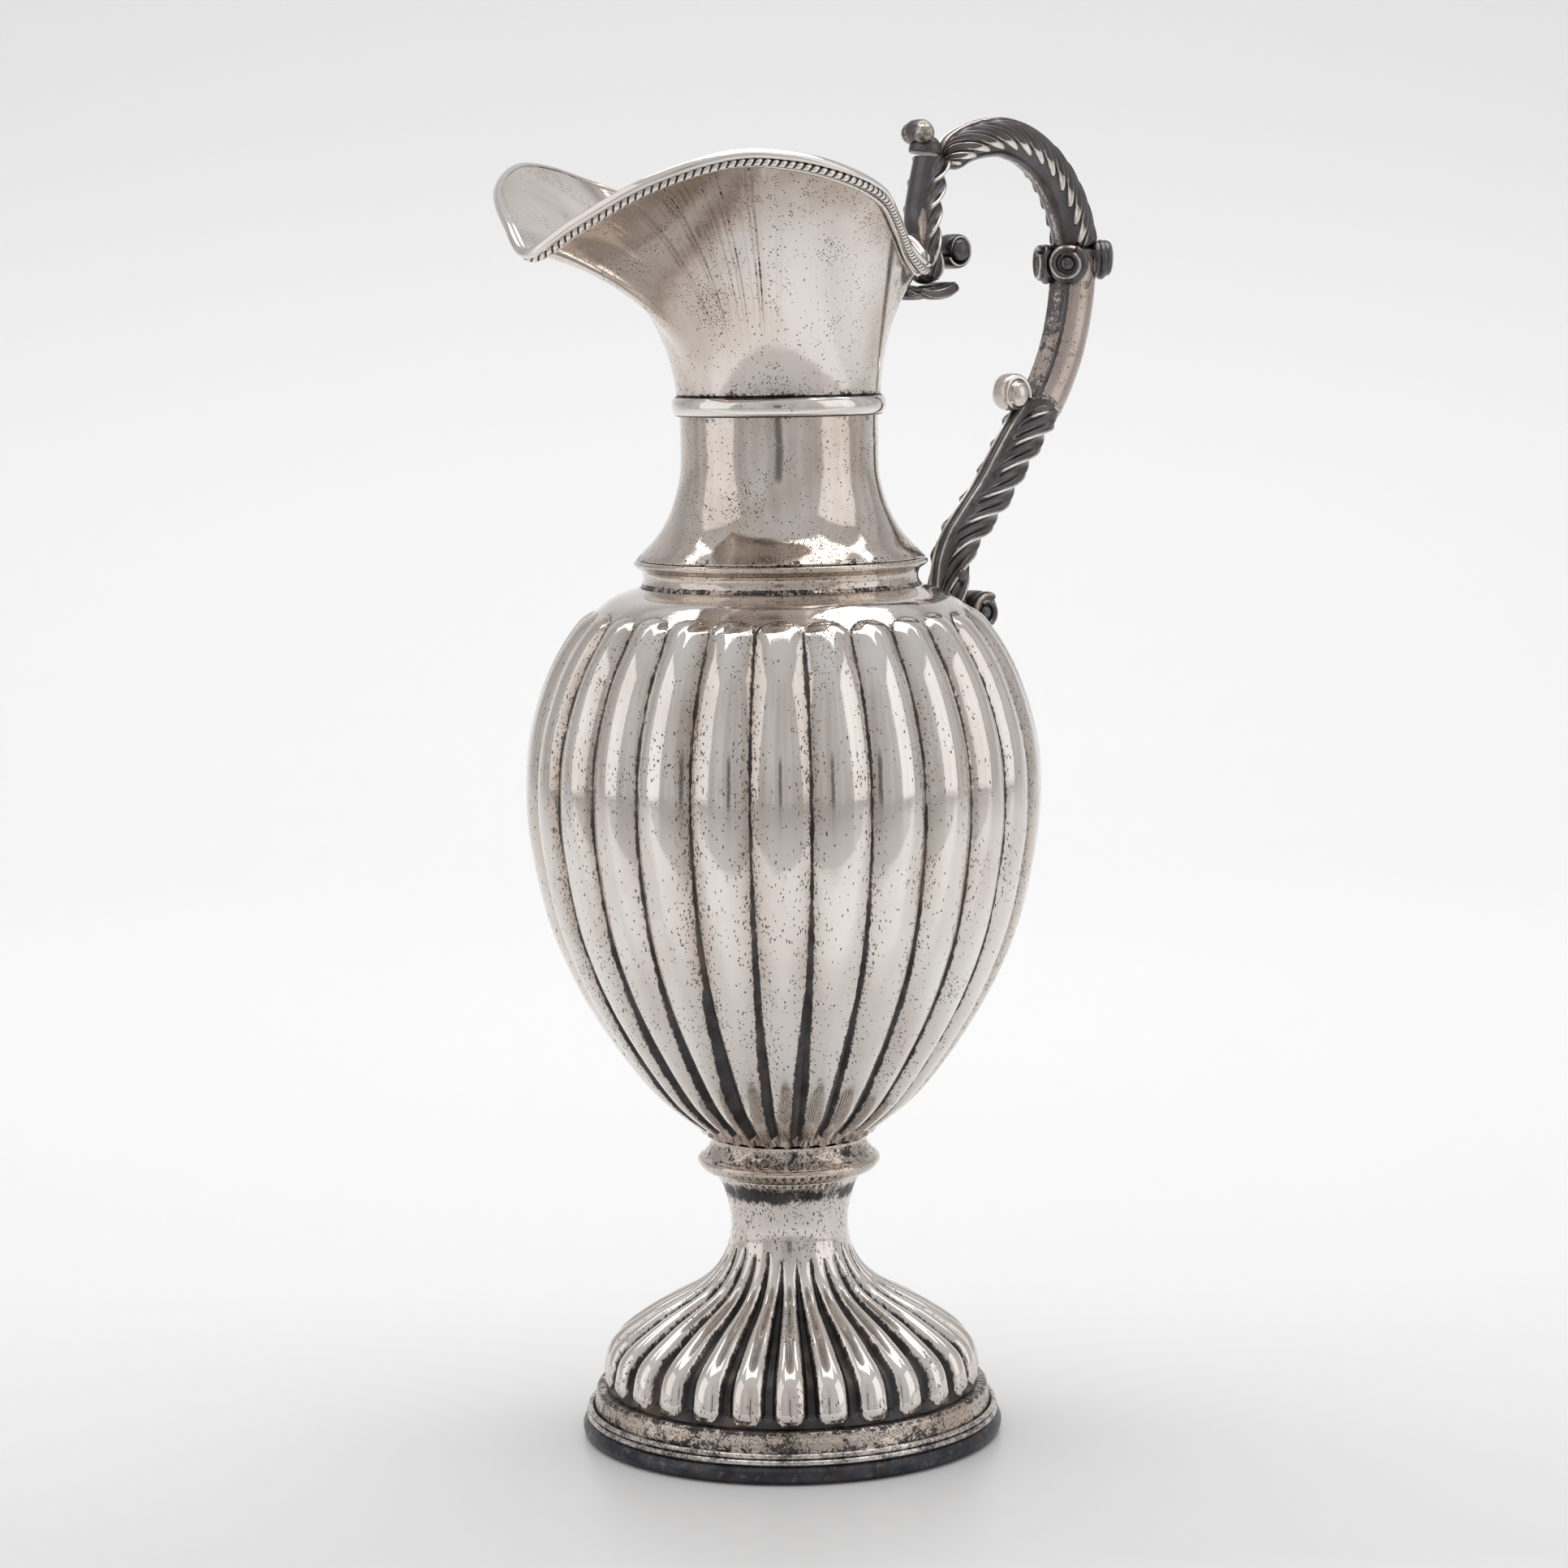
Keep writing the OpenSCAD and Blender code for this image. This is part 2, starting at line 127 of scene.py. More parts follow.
class Shape:
    """Closed skins over stacks of rings, in mm, that make one piece.

    Three marks lie on every point and steer the materials: edge is the depth into a dark zone in mm,
    speck the density of pits and stain the strength of brown tarnish, both from 0 to about 1.
    """

    def __init__(self):
        self.points, self.quads, self.marks, self.count = [], [], ([], [], []), 0

    def skin(self, rings, edge=BRIGHT, looped=False, speck=0.0, stain=0.0):
        """rings is (rows, columns, 3); an open stack gets its ends drawn in to a point."""
        rings = np.array(rings, float)
        marks = [np.broadcast_to(np.asarray(v, float), rings.shape[:2]) for v in (edge, speck, stain)]
        if not looped:
            first, last = rings[0].mean(0), rings[-1].mean(0)
            shrink = (0.01, 0.5, 0.9)
            head = np.array([first + (rings[0] - first) * k for k in shrink])
            tail = np.array([last + (rings[-1] - last) * k for k in shrink[::-1]])
            rings = np.concatenate([head, rings, tail])
            marks = [np.concatenate([v[:1]] * 3 + [v] + [v[-1:]] * 3) for v in marks]
        rows, cols = rings.shape[:2]
        r = np.arange(rows if looped else rows - 1)[:, None]
        c = np.arange(cols)[None, :]
        low, high = (r % rows) * cols, ((r + 1) % rows) * cols
        quads = np.stack([low + c, low + (c + 1) % cols, high + (c + 1) % cols, high + c], -1).reshape(-1, 4)
        flat = rings.reshape(-1, 3)
        a, b, d, e = (flat[quads[:, k]] for k in range(4))
        volume = (np.einsum("ij,ij->i", a, np.cross(b, d)) + np.einsum("ij,ij->i", a, np.cross(d, e))).sum()
        if volume < 0:
            quads = quads[:, ::-1]
        self.points.append(flat)
        self.quads.append(quads + self.count)
        for kept, values in zip(self.marks, marks):
            kept.append(values.reshape(-1))
        self.count += len(flat)
        return self

    def ball(self, centre, radii, edge):
        rows, cols = 24, 32
        lat = np.linspace(-0.5, 0.5, rows)[:, None] * math.pi * 0.995
        lon = np.arange(cols)[None, :] / cols * TAU
        ring = np.stack([np.cos(lat) * np.cos(lon), np.cos(lat) * np.sin(lon), np.sin(lat) + 0 * lon], -1)
        return self.skin(np.array(centre) + ring * np.array(radii), edge)

    def knobs(self, x, y, z, radii, edge):
        """Two equal balls, one on each side of the plane of symmetry."""
        for side in (-1, 1):
            self.ball((x, side * y, z), radii, edge)
        return self

    def change(self, move):
        """Moves every point made so far with the given function."""
        self.points = [move(p) for p in self.points]
        return self

    def keep_ahead(self, point, direction):
        """Presses what lies behind a plane flat onto it."""
        point, direction = np.array(point, float), unit(np.array(direction, float))

        def press(p):
            behind = np.minimum((p - point) @ direction, 0)
            return p - behind[:, None] * direction
        return self.change(press)

    def build(self, node):
        """Makes the piece that is shown instead of the CAD node, and lays it in that node's box."""
        co = np.concatenate(self.points)
        low, high = (np.array(v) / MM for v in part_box(node))
        own_low, own_high = co.min(0), co.max(0)
        co = low + (co - own_low) / (own_high - own_low) * (high - low)
        mesh = bpy.data.meshes.new(node + "_shape")
        mesh.from_pydata((co * MM).tolist(), [], np.concatenate(self.quads).tolist())
        mesh.polygons.foreach_set("use_smooth", np.ones(len(mesh.polygons), bool))
        for name, values in zip(("edge", "speck", "stain"), self.marks):
            mesh.attributes.new(name, "FLOAT", "POINT").data.foreach_set(
                "value", np.concatenate(values).astype(np.float32))
        mesh.update()
        piece = bpy.data.objects.new(node + "_made", mesh)
        bpy.context.scene.collection.objects.link(piece)
        piece.data.materials.append(MATERIALS[SLOT_OF[node]])
        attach(piece, "root")
        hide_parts(node)


def revolve(outline, edge, wobble, speck=0.0, stain=0.0):
    """Turns a closed outline of [radius, height] round the axis, slightly uneven like hand work."""
    cols = 224
    p = np.array(outline, float)
    a = np.arange(cols)[None, :] / cols * TAU
    phase = rng.uniform(0, TAU, 4)
    uneven = wobble * (np.sin(2 * a + phase[0]) + 0.5 * np.sin(5 * a + phase[1] + p[:, 1:] * 0.2)
                       + 0.4 * np.sin(9 * a + phase[2] - p[:, 1:] * 0.3)) / 1.9
    r = p[:, :1] + uneven - wobble
    rings = np.stack([r * np.cos(a), r * np.sin(a), np.broadcast_to(p[:, 1:], r.shape)], -1)
    return Shape().skin(rings, edge[:, None], looped=True, speck=speck, stain=stain)


# ---- materials ----

class Nodes:
    """Short way to lay out a node tree; values are numbers, colours or other nodes' outputs."""

    def __init__(self, tree, coordinate):
        self.tree = tree
        self.place = self.node("ShaderNodeTexCoord").outputs[coordinate]

    def node(self, kind, inputs=(), **settings):
        made = self.tree.nodes.new(kind)
        for key, value in settings.items():
            setattr(made, key, value)
        for key, value in dict(inputs).items():
            self.plug(value, made.inputs[key])
        return made

    def plug(self, value, socket):
        if isinstance(value, bpy.types.NodeSocket):
            self.tree.links.new(value, socket)
        else:
            socket.default_value = value

    def math(self, operation, a, b=0.0):
        return self.node("ShaderNodeMath", {0: a, 1: b}, operation=operation).outputs[0]

    def noise(self, scale, detail=3.0, distortion=0.0, place=None):
        made = self.node("ShaderNodeTexNoise", {"Scale": scale, "Detail": detail, "Distortion": distortion,
                                                "Vector": place or self.place})
        return made.outputs["Fac"]

    def axis(self, vector, name):
        return self.node("ShaderNodeSeparateXYZ", {0: vector}).outputs[name]

    def step(self, value, low, high):
        made = self.node("ShaderNodeMapRange", {"Value": value, "From Min": low, "From Max": high},
                         interpolation_type="SMOOTHSTEP")
        return made.outputs["Result"]

    def mix(self, share, a, b):
        made = self.node("ShaderNodeMix", {0: share, 6: a, 7: b}, data_type="RGBA")
        return made.outputs[2]

    def blend(self, share, a, b):
        made = self.node("ShaderNodeMix", {0: share, 2: a, 3: b}, data_type="FLOAT")
        return made.outputs[0]


class Recipe(Nodes):
    """A procedural material over the object's own coordinates, in metres."""

    def __init__(self, name):
        self.material = bpy.data.materials.new(name)
        self.material.use_nodes = True
        super().__init__(self.material.node_tree, "Object")
        self.shader = self.tree.nodes["Principled BSDF"]

    def attribute(self, name):
        return self.node("ShaderNodeAttribute", attribute_name=name).outputs["Fac"]


CLEAN = (0.83, 0.795, 0.765, 1)
BLACK = (0.036, 0.032, 0.031, 1)
BROWN = (0.10, 0.068, 0.052, 1)
STEEL = (0.17, 0.172, 0.185, 1)
HAZE = (0.50, 0.425, 0.37, 1)  # thin tarnish next to dark zones
STAIN = (0.43, 0.345, 0.28, 1)  # brown tarnish
WARM_TINT = (0.79, 0.72, 0.66, 1)  # multiplies the clean colour where it has yellowed
PIT_CELLS = 1700.0  # cells per metre, at most one pit in each
PIT_BEND = 0.0010  # how far the pits' outlines are bent, in metres


def silver(name, clean=CLEAN, rough=0.05, warm=0.4, pits=0.5, streak=1.0, ragged=1.0, dark=BLACK, steel=0.35,
           all_dark=False, haze=0.3, dull=0.36):
    """Silver whose dark zones lie where the edge attribute is positive.

    streak below 1 draws marks upright, ragged widens the broken rim of dark zones, steel is the share of
    steel grey in the oxide and dull the roughness of the oxide.
    """
    m = Recipe(name)
    upright = m.node("ShaderNodeMapping", {"Vector": m.place, "Scale": (1, 1, streak)}).outputs["Vector"]
    cloud = m.noise(38, 5, 0.3)
    fine = m.noise(1500, 2, place=upright)
    mid = m.noise(420, 4, 0.5, place=upright)
    broad = m.noise(90, 2, place=upright)
    # tarnish over the bright metal
    tint = m.math("MULTIPLY", m.step(cloud, 0.36, 0.68), warm)
    bright = m.mix(tint, clean, [k * share for k, share in zip(clean, WARM_TINT)])
    # dark zone with a ragged rim and a thin haze of tarnish next to it
    if all_dark:
        zone = m.blend(m.step(mid, 0.55, 0.75), 1.0, 0.8)
        bright = m.mix(0.5, bright, STEEL)
    else:
        rag = m.math("MULTIPLY", m.math("SUBTRACT", mid, 0.5), 2.0 * ragged)
        rag = m.math("ADD", rag, m.math("MULTIPLY", m.math("SUBTRACT", fine, 0.5), 1.6 * ragged))
        rag = m.math("ADD", rag, m.math("MULTIPLY", m.math("SUBTRACT", broad, 0.5), 1.6 * ragged))
        reach = m.math("ADD", m.attribute("edge"), rag)
        zone = m.step(reach, -0.22, 0.26)
        near = m.math("MULTIPLY", m.step(reach, -1.5, 0.1), haze)
        near = m.math("MAXIMUM", near, m.math("MULTIPLY", m.attribute("speck"), 0.5))
        uneven = m.blend(m.step(m.noise(70, 4, 0.6), 0.35, 0.6), 0.45, 1.0)
        cloudy = m.math("MULTIPLY", m.attribute("stain"), uneven)
        bright = m.mix(near, bright, HAZE)
        bright = m.mix(cloudy, bright, STAIN)
    # pits: small round marks, dense where the speck attribute is high and in loose clusters
    cluster = m.step(m.noise(75, 4, place=upright), 0.60 - 0.14 * pits, 0.74 - 0.12 * pits)
    density = m.math("MAXIMUM", m.attribute("speck"), m.math("MULTIPLY", cluster, 0.8 * min(1.0, pits * 1.6)))
    patchy = m.math("MULTIPLY", density, m.step(m.noise(300, 2), 0.25, 0.55))
    bend = m.node("ShaderNodeTexNoise", {"Scale": 900.0, "Detail": 1.0, "Vector": m.place}).outputs["Color"]
    bent = m.node("ShaderNodeVectorMath", {0: bend, 1: (-0.5, -0.5, -0.5)}, operation="ADD").outputs[0]
    bent = m.node("ShaderNodeVectorMath", {0: bent, "Scale": PIT_BEND}, operation="SCALE").outputs[0]
    bent = m.node("ShaderNodeVectorMath", {0: upright, 1: bent}, operation="ADD").outputs[0]
    cells = m.node("ShaderNodeTexVoronoi", {"Scale": PIT_CELLS, "Vector": bent})
    spot = m.math("SUBTRACT", 1.0, m.step(cells.outputs["Distance"], 0.28, 0.42))
    draw = m.node("ShaderNodeSeparateColor", {0: cells.outputs["Color"]}).outputs[0]
    chosen = m.math("LESS_THAN", draw, patchy)
    marks = m.math("MULTIPLY", spot, chosen)
    cover = m.math("MAXIMUM", zone, m.math("MULTIPLY", marks, 0.85))
    # colour of the oxide: black, brown in places, steel grey where worn
    worn_share = m.math("MULTIPLY", m.step(m.noise(140, 5), 0.3, 0.75), steel)
    oxide = m.mix(m.step(m.noise(110, 3), 0.5, 0.72), dark, BROWN)
    oxide = m.mix(worn_share, oxide, STEEL)
    m.plug(m.mix(cover, bright, oxide), m.shader.inputs["Base Color"])
    m.plug(m.blend(cover, 1.0, 0.85), m.shader.inputs["Metallic"])
    base_rough = m.math("ADD", rough, m.math("MULTIPLY", m.step(cloud, 0.35, 0.7), 0.06))
    m.plug(m.blend(cover, base_rough, dull), m.shader.inputs["Roughness"])
    # relief: hand-worked waviness, fine wear and sunken marks
    swell = m.node("ShaderNodeBump", {"Strength": 0.2, "Distance": 0.0006, "Height": m.noise(95, 2)})
    wear = m.node("ShaderNodeBump", {"Strength": 0.4, "Distance": 0.00003, "Height": m.noise(1900, 4),
                                     "Normal": swell.outputs[0]})
    sunk = m.node("ShaderNodeBump", {"Strength": 0.6, "Distance": 0.00012, "Height": cover,
                                     "Normal": wear.outputs[0]}, invert=True)
    m.plug(sunk.outputs[0], m.shader.inputs["Normal"])
    return m.material


MATERIALS = {
    "sheet_silver": silver("Sheet_Silver", clean=(0.80, 0.75, 0.705, 1), rough=0.05, warm=0.8, pits=0.85),
    "fluted_silver": silver("Fluted_Silver", rough=0.035, warm=0.5, pits=0.55, streak=0.45, ragged=0.6),
    "polished_silver": silver("Polished_Silver", rough=0.05, warm=0.4, pits=0.25, ragged=0.4),
    "roped_silver": silver("Roped_Silver", rough=0.1, warm=0.3, pits=0.0, ragged=0.3),
    "oxidised_silver": silver("Oxidised_Silver", rough=0.17, warm=0.6, pits=0.15, ragged=0.5, steel=0.55,
                              dark=(0.095, 0.088, 0.088, 1), haze=0.9, dull=0.24),
    "grip_silver": silver("Grip_Silver", clean=(0.56, 0.50, 0.47, 1), rough=0.22, warm=0.8, pits=0.9, ragged=1.0,
                          steel=0.7, dark=(0.12, 0.105, 0.102, 1), haze=0.6, dull=0.28),
    "blackened_silver": silver("Blackened_Silver", rough=0.2, warm=0.4, pits=0.2, steel=0.35,
                               dark=(0.03, 0.032, 0.04, 1), all_dark=True),
}
# the CAD pieces get them too: base_ring and both foot wires are shown as they are
for node_name, slot_name in SLOT_OF.items():
    cad_mesh = frame["nodes"][node_name].data
    cad_mesh.materials.clear()
    cad_mesh.materials.append(MATERIALS[slot_name])


# ---- lobed body and fluted foot ----

LOBES = 28
LOBE_DEPTH = 2.4
CHANNEL_DEPTH = 3.4
SHEET = 1.0  # thickness of all sheet
GROOVE_SHIFT = 0.0366  # radians that line the grooves of the near side up with the photographed ones
HEAD_Z = 231.2  # top of the body's round lobe heads
HEAD_R = 53  # radius of the body there
FOOT_END = 3.8  # height over which the foot's lobes round off above the ledge
STEM_TOP_Z, BODY_Z, SHOULDER_Z, NECK_Z, FUNNEL_Z = 73.5, 83.8, 236.4, 243.7, 288.2
LEDGE_Z = 13.6
BODY_CURVE = [[22, BODY_Z], [38, 97.5], [54.2, 120.4], [64.7, 143.3], [69.9, 166.2], [71, 182], [69.6, 196.5],
              [64.7, 212.1], [58, 224], [50.5, 231.6], [38.6, SHOULDER_Z]]
FOOT_CURVE = [[52, LEDGE_Z], [52.5, 18], [49.7, 26], [39.2, 34], [25.1, 42], [18.4, 50], [16.25, 59],
              [18.1, 69], [20.6, STEM_TOP_Z]]


def profile(curve, count):
    """Even points, outward normals and arc lengths of an upward outline."""
    p = even(open_curve(curve, 24), count)
    d = unit(np.gradient(p, axis=0))
    return p, np.stack([d[:, 1], -d[:, 0]], -1), lengths(p)


def lobe_shares(angle):
    """Signed distance from the nearest lobe crest as a share of half the pitch, and the lobe's number."""
    turns = angle / TAU * LOBES
    number = np.round(turns)
    return 2 * (turns - number), number.astype(int) % LOBES


def lobed_skin(rings_p, rings_n, height, angle):
    """Surface of revolution pushed along its outline's normal by height(row, column), in mm."""
    r = rings_p[:, :1] + rings_n[:, :1] * height
    z = rings_p[:, 1:] + rings_n[:, 1:] * height
    return np.stack([r * np.cos(angle), r * np.sin(angle), z], -1)


def uneven_angles(cols, z, share):
    """Column angles, with each groove a little off its even place."""
    base = np.arange(cols)[None, :] / cols * TAU
    drift = np.zeros((len(z), cols))
    for k in range(3, 9):
        drift += np.sin(base * (k * 3 + 1) + rng.uniform(0, TAU) + z[:, None] * rng.uniform(-0.03, 0.03)) / k
    wider = -GROOVE_SHIFT * (1 - np.sin(base + NEAR_SIDE))
    return base + drift * share + wider


def make_body():
    cols = LOBES * 22
    p, n, s = profile(BODY_CURVE, 270)
    z = p[:, 1]
    angle = uneven_angles(cols, z, 0.0022)
    share, number = lobe_shares(np.arange(cols)[None, :] / cols * TAU)
    half_pitch = (math.pi * p[:, 0] / LOBES)[:, None]
    # the round heads of the lobes end a little apart from each other
    head_end = np.interp(HEAD_Z, z, s) + rng.uniform(-0.7, 0.7, LOBES)[number]
    radius = math.pi * HEAD_R / LOBES
    past = np.maximum(0, s[:, None] - (head_end - radius)) / radius
    rho = np.minimum(1, np.sqrt(share ** 2 + past ** 2))
    crown = np.cos(math.pi / 2 * rho) ** 0.85
    depth = LOBE_DEPTH * np.minimum(1, p[:, 0] / 60 + 0.2)
    depth = depth * (1 - 0.5 * ease(222, 231, z)) * (1 - ease(231, 234.5, z))
    height = -depth[:, None] * (1 - crown)
    rings = lobed_skin(p, n, height, angle)
    gap = (1 - rho) * half_pitch
    wide = np.interp(z, [84, 90, 100, 117, 135, 150, 170, 190, 222, 231],
                     [1.2, 1.6, 2.0, 1.6, 0.95, 0.5, 0.32, 0.28, 0.28, 0.0])
    groove = np.floor(np.arange(cols)[None, :] / cols * LOBES).astype(int) % LOBES
    # the oxide lies mostly on one side of each groove
    one_sided = np.where(share < 0, 0.45, 1.25)
    lobe_own = rng.uniform(0.65, 1.3, LOBES)[groove] * one_sided
    beyond = np.maximum(0, np.sqrt(share ** 2 + past ** 2) - 1) * radius * (past > 0)
    lower = ease(150, 120, z)[:, None]
    edge = wide[:, None] * (1 + (lobe_own - 1) * np.maximum(lower, 0.3))
    edge = edge + 0.3 * (1 - lower) * bell(gap, 0, 0.6) - gap
    edge = np.maximum(edge - 1.6 * beyond, -2.4)
    heavy = 1.8 * rng.uniform(0.25, 1.0, LOBES)[groove] ** 1.3
    speck = heavy * np.exp(-gap / 2.7) * (0.35 + 0.65 * ease(84, 120, z) * ease(228, 190, z))[:, None]
    speck = speck * np.exp(-beyond)
    stain = np.clip(0.9 * heavy * np.exp(-gap / 1.9), 0, 0.9)
    stain = stain * (0.25 + 0.75 * ease(110, 150, z))[:, None] * np.exp(-beyond)
    inner = lobed_skin(p[::-6], n[::-6], height[::-6] - SHEET, angle[::-6])
    inner[-1, :, 2] = BODY_Z + SHEET
    plain = np.zeros(inner.shape[:2])
    Shape().skin(np.concatenate([rings, inner]), np.concatenate([edge, plain + BRIGHT]),
                 speck=np.concatenate([speck, plain]), stain=np.concatenate([stain, plain])).build("lobed_body")


def make_foot():
    cols = LOBES * 20
    p, n, _ = profile(FOOT_CURVE, 170)
    z = p[:, 1]
    angle = uneven_angles(cols, z, 0.003)
    share, _ = lobe_shares(np.arange(cols)[None, :] / cols * TAU)
    groove = np.floor(np.arange(cols)[None, :] / cols * LOBES).astype(int) % LOBES
    # each channel between two lobes runs out at its own height on the stem
    tip = 53 + rng.uniform(-2.2, 2.2, LOBES)[groove]
    taper = np.clip((tip - z[:, None]) / 12, 0, 1) ** 0.7
    channel = 0.33 * taper ** 0.45  # its half width as a share of half the pitch
    depth = CHANNEL_DEPTH * np.minimum(1, p[:, 0] / 45 + 0.08)[:, None] * ease(13.4, 17, z)[:, None] * taper ** 0.8
    past = np.maximum(0, LEDGE_Z + FOOT_END - z[:, None]) / FOOT_END
    ridge = np.sqrt(np.clip(1 - (np.abs(share) / (1 - 0.6 * channel)) ** 2 - 0.9 * past ** 2, 0, 1))
    height = -depth * (1 - ridge)
    rings = lobed_skin(p, n, height, angle)
    half_pitch = (math.pi * p[:, 0] / LOBES)[:, None]
    edge = (np.sqrt(share ** 2 + past ** 2) - (1 - channel * (1 - 0.6 * past))) * half_pitch
    edge = np.where(taper <= 0, -1.6, edge)
    # dark line where the round lobe ends meet the ledge
    edge = np.maximum(edge, 1.1 - np.abs(z[:, None] - LEDGE_Z))
    # mottled dark patch under the collar, lighter further down the stem
    edge = np.maximum(edge, -1.6 + 1.95 * bell(z, 69.5, 4.6)[:, None])
    edge = np.maximum(edge, -1.6 + 1.05 * bell(z, 62.0, 7)[:, None])
    inner = lobed_skin(p[::-4], n[::-4], height[::-4] - SHEET, angle[::-4])
    inner[0, :, 2], inner[-1, :, 2] = STEM_TOP_Z, LEDGE_Z
    pitted = 0.9 * bell(z, 70, 5) + 0.6 * bell(z, 60, 7) + 0.45 * bell(z, 16, 4)
    speck = np.broadcast_to(pitted[:, None], edge.shape)
    plain = np.zeros(inner.shape[:2])
    Shape().skin(np.concatenate([rings, inner]), np.concatenate([edge, plain + BRIGHT]), looped=True,
                 speck=np.concatenate([speck, plain])).build("fluted_foot")


make_body()
make_foot()


# ---- turned pieces ----

def arc(middle, radius, start, end):
    """Points on a circle, from one angle to the other in degrees."""
    a = np.radians(np.linspace(start, end, 10))
    return [[middle[0] + radius * math.cos(t), middle[1] + radius * math.sin(t)] for t in a]


def make_turned():
    plinth = [[53.7, 5], [55.1, 5], [55.3, 8.6], [54.8, 10.8], [54.7, 12.5], [54.0, LEDGE_Z], [48, LEDGE_Z],
              [48, 12.6], [52.4, 12.6], [53.7, 8.6]]
    outline = rounded(plinth, 0.5)
    edge = np.interp(outline[:, 1], [5, 6.6, 7.4, 9.6, 10.4, 12.4, 13.0],
                     [-0.3, -0.25, 0.05, 0.02, -0.3, -0.3, 0.15])
    revolve(outline, edge=edge, wobble=0.05, speck=0.75, stain=0.6).build("plinth")

    waist = ([[15, STEM_TOP_Z], [21.2, STEM_TOP_Z], [22.8, 74.1], [24.3, 75.1]] + arc((23.9, 77), 1.4, -40, 60)
             + [[23.6, 78.8], [22.6, 80.2], [21.8, 81.6], [21.6, 82.6], [22, BODY_Z], [15, BODY_Z]])
    outline = rounded(waist, 0.35)
    edge = np.where(np.abs(outline[:, 1] - 80.6) < 2.2, -0.16, -0.8)
    revolve(outline, edge=edge, wobble=0.08, speck=0.5, stain=0.5).build("waist_collar")

    collar = open_curve([[38.6, SHOULDER_Z], [37.8, 237.6], [37.6, 239.2], [38.2, 240.8], [39.7, 241.9],
                         [40.2, 242.6], [40, 243.3], [39.4, NECK_Z]], 5)
    outline = np.vstack([collar, [[35.8, NECK_Z], [35.8, SHOULDER_Z]]])
    edge = np.where(outline[:, 1] < 237.6, 0.1, -0.85)
    revolve(outline, edge=edge, wobble=0.07, speck=0.3, stain=0.35).build("shoulder_collar")

    neck = even(open_curve([[39.4, NECK_Z], [37.2, 246.2], [34, 249.6], [31.2, 254], [28.9, 259.5], [27.2, 267],
                            [27, 276], [27, FUNNEL_Z]], 12), 90)
    heading = unit(np.gradient(neck, axis=0))
    inside = neck[::-1] - SHEET * np.stack([np.maximum(heading[:, 1], 0.7), -heading[:, 0]], -1)[::-1]
    inside[0, 1], inside[-1, 1] = FUNNEL_Z, NECK_Z
    outline = np.concatenate([neck, inside])
    edge = np.where(outline[:, 1] < 245.0, -0.2, np.where(outline[:, 1] > 281, -0.5, -1.25))
    revolve(outline, edge=edge, wobble=0.09, speck=0.16, stain=0.3).build("neck_tube")

    band_z = 285.4
    bulge = [[27.3 + 2 * math.cos(math.radians(a)), band_z + 2.8 * math.sin(math.radians(a))]
             for a in range(-84, 85, 8)]
    outline = np.array([[27, 282.6]] + bulge + [[27, FUNNEL_Z]])
    edge = np.where(np.abs(outline[:, 1] - band_z) > 2.4, 0.6, -1.0)
    revolve(outline, edge=edge, wobble=0.06).build("neck_band")


make_turned()


# ---- mouth ----

RIM_HALF = [[-82.8, 0, 326.4], [-78.6, 14, 333.6], [-69, 31.5, 343.3], [-53, 44.7, 349.6], [-37.4, 51, 349.4],
            [-22, 54.2, 346], [-7, 50.4, 341.4], [8, 39.2, 334.8], [24, 26, 327.6], [37, 18, 323],
            [44.6, 10.5, 324.8], [46.6, 0, 330]]
FUNNEL_R = 27.8
ROPE_BEAD = 2.3  # length of one bead of the rope
WALL_COLUMNS = 760


def rim_points():
    mirrored = [[x, -y, z] for x, y, z in RIM_HALF[-2:0:-1]]
    return closed_curve(RIM_HALF + mirrored, 18)[::-1]


def funnel_rings(rim, levels):
    """Wall of the funnel: rows are the height shares in levels, from the neck to the rim."""
    flat = rim * [1, 1, 0]
    size = np.linalg.norm(flat, axis=1, keepdims=True)
    out = flat / size
    spout = np.maximum(0, -rim[:, :1] / size) ** 2
    back = np.maximum(0, rim[:, :1] / size) ** 2
    # each column is a cubic curve from start to rim, drawn by the points low and high
    start = out * FUNNEL_R + UP * FUNNEL_Z
    rise, reach = rim[:, 2:] - FUNNEL_Z, size - FUNNEL_R
    low = start + out * (0.8 + 1.4 * spout) + UP * rise * (0.30 + 0.08 * spout + 0.04 * back)
    high = rim - out * reach * (0.38 + 0.22 * spout + 0.14 * back)
    high = high - UP * rise * (0.34 - 0.18 * spout - 0.14 * back)
    t = np.asarray(levels, float)[:, None, None]
    u = 1 - t
    return start * u ** 3 + low * 3 * u * u * t + high * 3 * u * t * t + rim * t ** 3


def rim_frame(rim):
    """Directions at the rim: up along the wall and outward from it."""
    rings = funnel_rings(rim, [0.97, 1.0])
    up = unit(rings[1] - rings[0])
    along = np.roll(rim, -1, axis=0) - np.roll(rim, 1, axis=0)
    return up, unit(np.cross(along, up))


